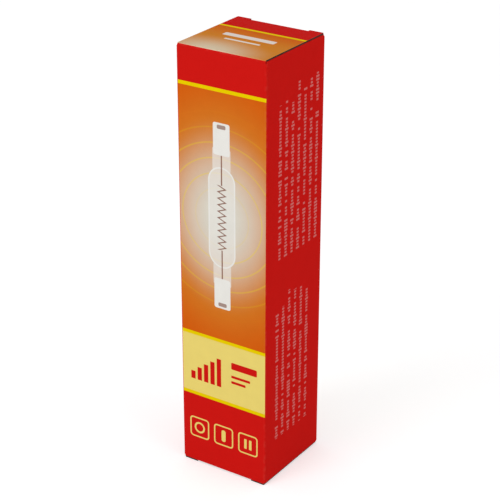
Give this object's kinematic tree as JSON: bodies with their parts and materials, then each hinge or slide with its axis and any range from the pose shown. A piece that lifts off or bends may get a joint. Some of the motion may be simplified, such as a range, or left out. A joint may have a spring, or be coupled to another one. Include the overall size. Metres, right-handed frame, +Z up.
{
  "type": "tuck end lamp carton",
  "caption": "Square folding carton with a tuck-in closure at each end, holding a linear halogen lamp by its ceramic caps in a folded card cradle.",
  "frame": {"origin": "middle of the base, on the outer face of the bottom closure", "axes": "+Z up along the carton's height, -Y out of the front wall, on which the top closure turns, +X to the right seen from the front"},
  "size_m": [0.0224, 0.0224, 0.1],
  "materials": {
    "printed_card": "satin",
    "plain_card": "matte",
    "quartz": "polished",
    "tungsten": "matte",
    "molybdenum": "satin",
    "steatite": "matte",
    "contact_metal": "satin"
  },
  "bodies": {
    "carton": {"carton_sleeve": "printed_card", "lamp_cradle": "plain_card", "quartz_envelope": "quartz", "filament_coil": "tungsten", "lead_foil_top": "molybdenum", "ceramic_cap_top": "steatite", "contact_top": "contact_metal", "lead_foil_bottom": "molybdenum", "ceramic_cap_bottom": "steatite", "contact_bottom": "contact_metal"},
    "top_flap": {"top_flap": "printed_card"},
    "bottom_flap": {"bottom_flap": "printed_card"}
  },
  "joints": [
    {"name": "top_flap_hinge", "type": "hinge", "parent": "carton", "child": "top_flap", "pos_m": [0, -0.0111, 0.09989], "axis": [1, 0, 0], "range_deg": [0, 175]},
    {"name": "bottom_flap_hinge", "type": "hinge", "parent": "carton", "child": "bottom_flap", "pos_m": [0, 0.0111, 0.00011], "axis": [1, 0, 0], "range_deg": [0, 175]}
  ]
}
